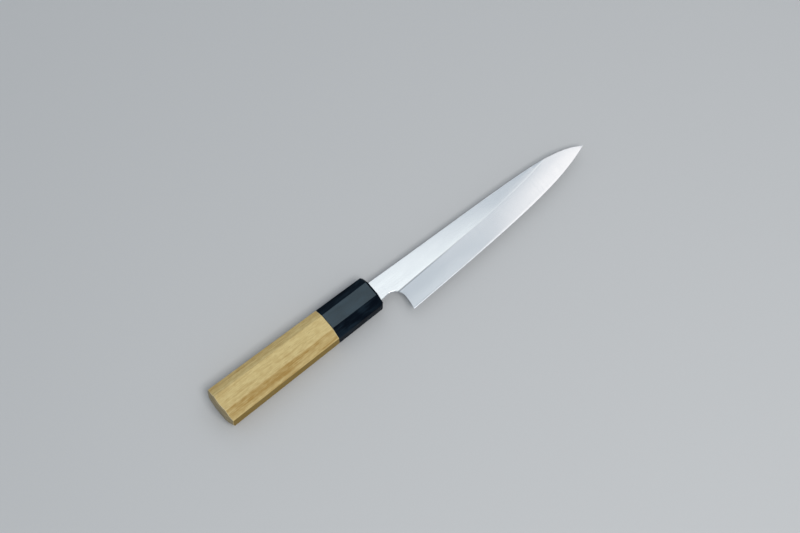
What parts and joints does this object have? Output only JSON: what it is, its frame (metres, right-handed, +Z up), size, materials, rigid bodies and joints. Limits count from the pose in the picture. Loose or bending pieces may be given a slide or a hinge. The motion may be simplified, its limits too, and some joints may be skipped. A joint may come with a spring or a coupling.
{
  "type": "petty knife",
  "caption": "Small kitchen knife with a bevel-ground steel blade, a rounded choil, a black ferrule and a flush eight-sided wooden handle, lying on its side.",
  "frame": {"origin": "under the middle of the knife's bounding box, on the surface that the knife lies on", "axes": "+X along the handle to the tip, +Y from the cutting edge to the spine, +Z up, out of the blade's right side"},
  "size_m": [0.2794, 0.0362, 0.0189],
  "materials": {
    "blade_steel": "polished",
    "ferrule_horn": "satin",
    "grip_wood": "satin",
    "dowel_wood": "matte",
    "bedding_resin": "satin"
  },
  "bodies": {
    "root": {"blade": "blade_steel", "ferrule": "ferrule_horn", "grip": "grip_wood", "core_dowel": "dowel_wood", "tang_bedding": "bedding_resin"}
  },
  "joints": []
}
